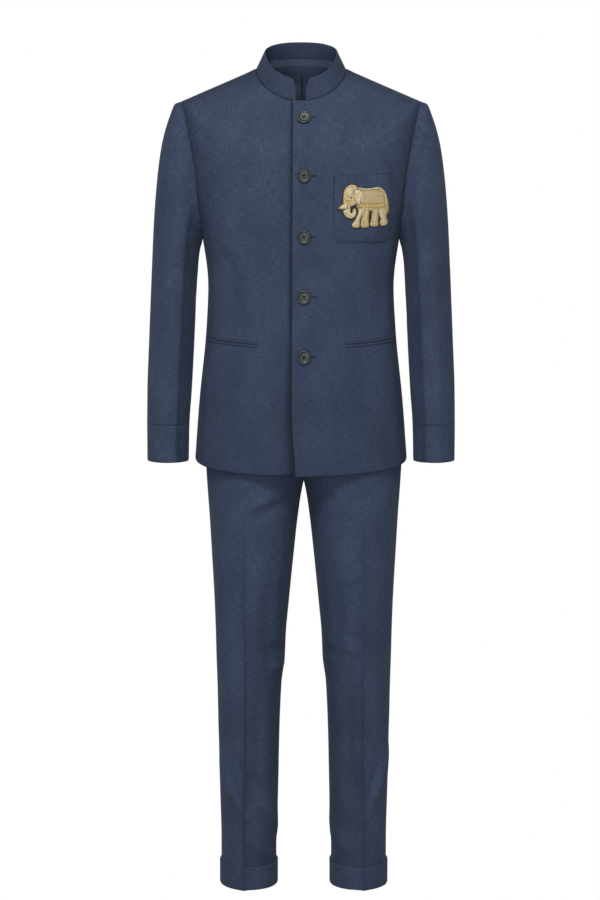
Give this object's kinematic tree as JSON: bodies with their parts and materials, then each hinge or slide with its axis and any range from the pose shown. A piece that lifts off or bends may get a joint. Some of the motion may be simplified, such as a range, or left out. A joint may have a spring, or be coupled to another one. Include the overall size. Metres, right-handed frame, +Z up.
{
  "type": "jodhpuri suit",
  "caption": "Navy linen jodhpuri suit: a stand-collar jacket with a gold elephant on its chest pocket, over slim trousers with turn-ups.",
  "frame": {"origin": "middle of the neck, level with the side neck points, where the wearer's neck and shoulders hold the suit", "axes": "+Z up the body, -Y the way the front faces, +X towards the wearer's left"},
  "size_m": [0.556, 0.2392, 1.5287],
  "materials": {
    "navy_linen": "matte",
    "navy_lining": "satin",
    "dark_horn": "gloss",
    "gold_thread": "satin"
  },
  "bodies": {
    "root": {"front_left": "navy_linen", "front_right": "navy_linen", "back_left": "navy_linen", "back_right": "navy_linen", "collar": "navy_linen", "neck_lining": "navy_lining", "sleeve_top_left": "navy_linen", "sleeve_under_left": "navy_linen", "sleeve_top_right": "navy_linen", "sleeve_under_right": "navy_linen", "cuff_left": "navy_linen", "cuff_right": "navy_linen", "chest_pocket": "navy_linen", "elephant_applique": "gold_thread", "welt_upper_left": "navy_linen", "welt_lower_left": "navy_linen", "welt_upper_right": "navy_linen", "welt_lower_right": "navy_linen", "button_1": "dark_horn", "button_2": "dark_horn", "button_3": "dark_horn", "button_4": "dark_horn", "button_5": "dark_horn", "trouser_front_left": "navy_linen", "trouser_back_left": "navy_linen", "trouser_front_right": "navy_linen", "trouser_back_right": "navy_linen", "waistband": "navy_linen", "fly": "navy_linen", "waist_button": "dark_horn", "turn_up_left": "navy_linen", "turn_up_right": "navy_linen"}
  },
  "joints": []
}
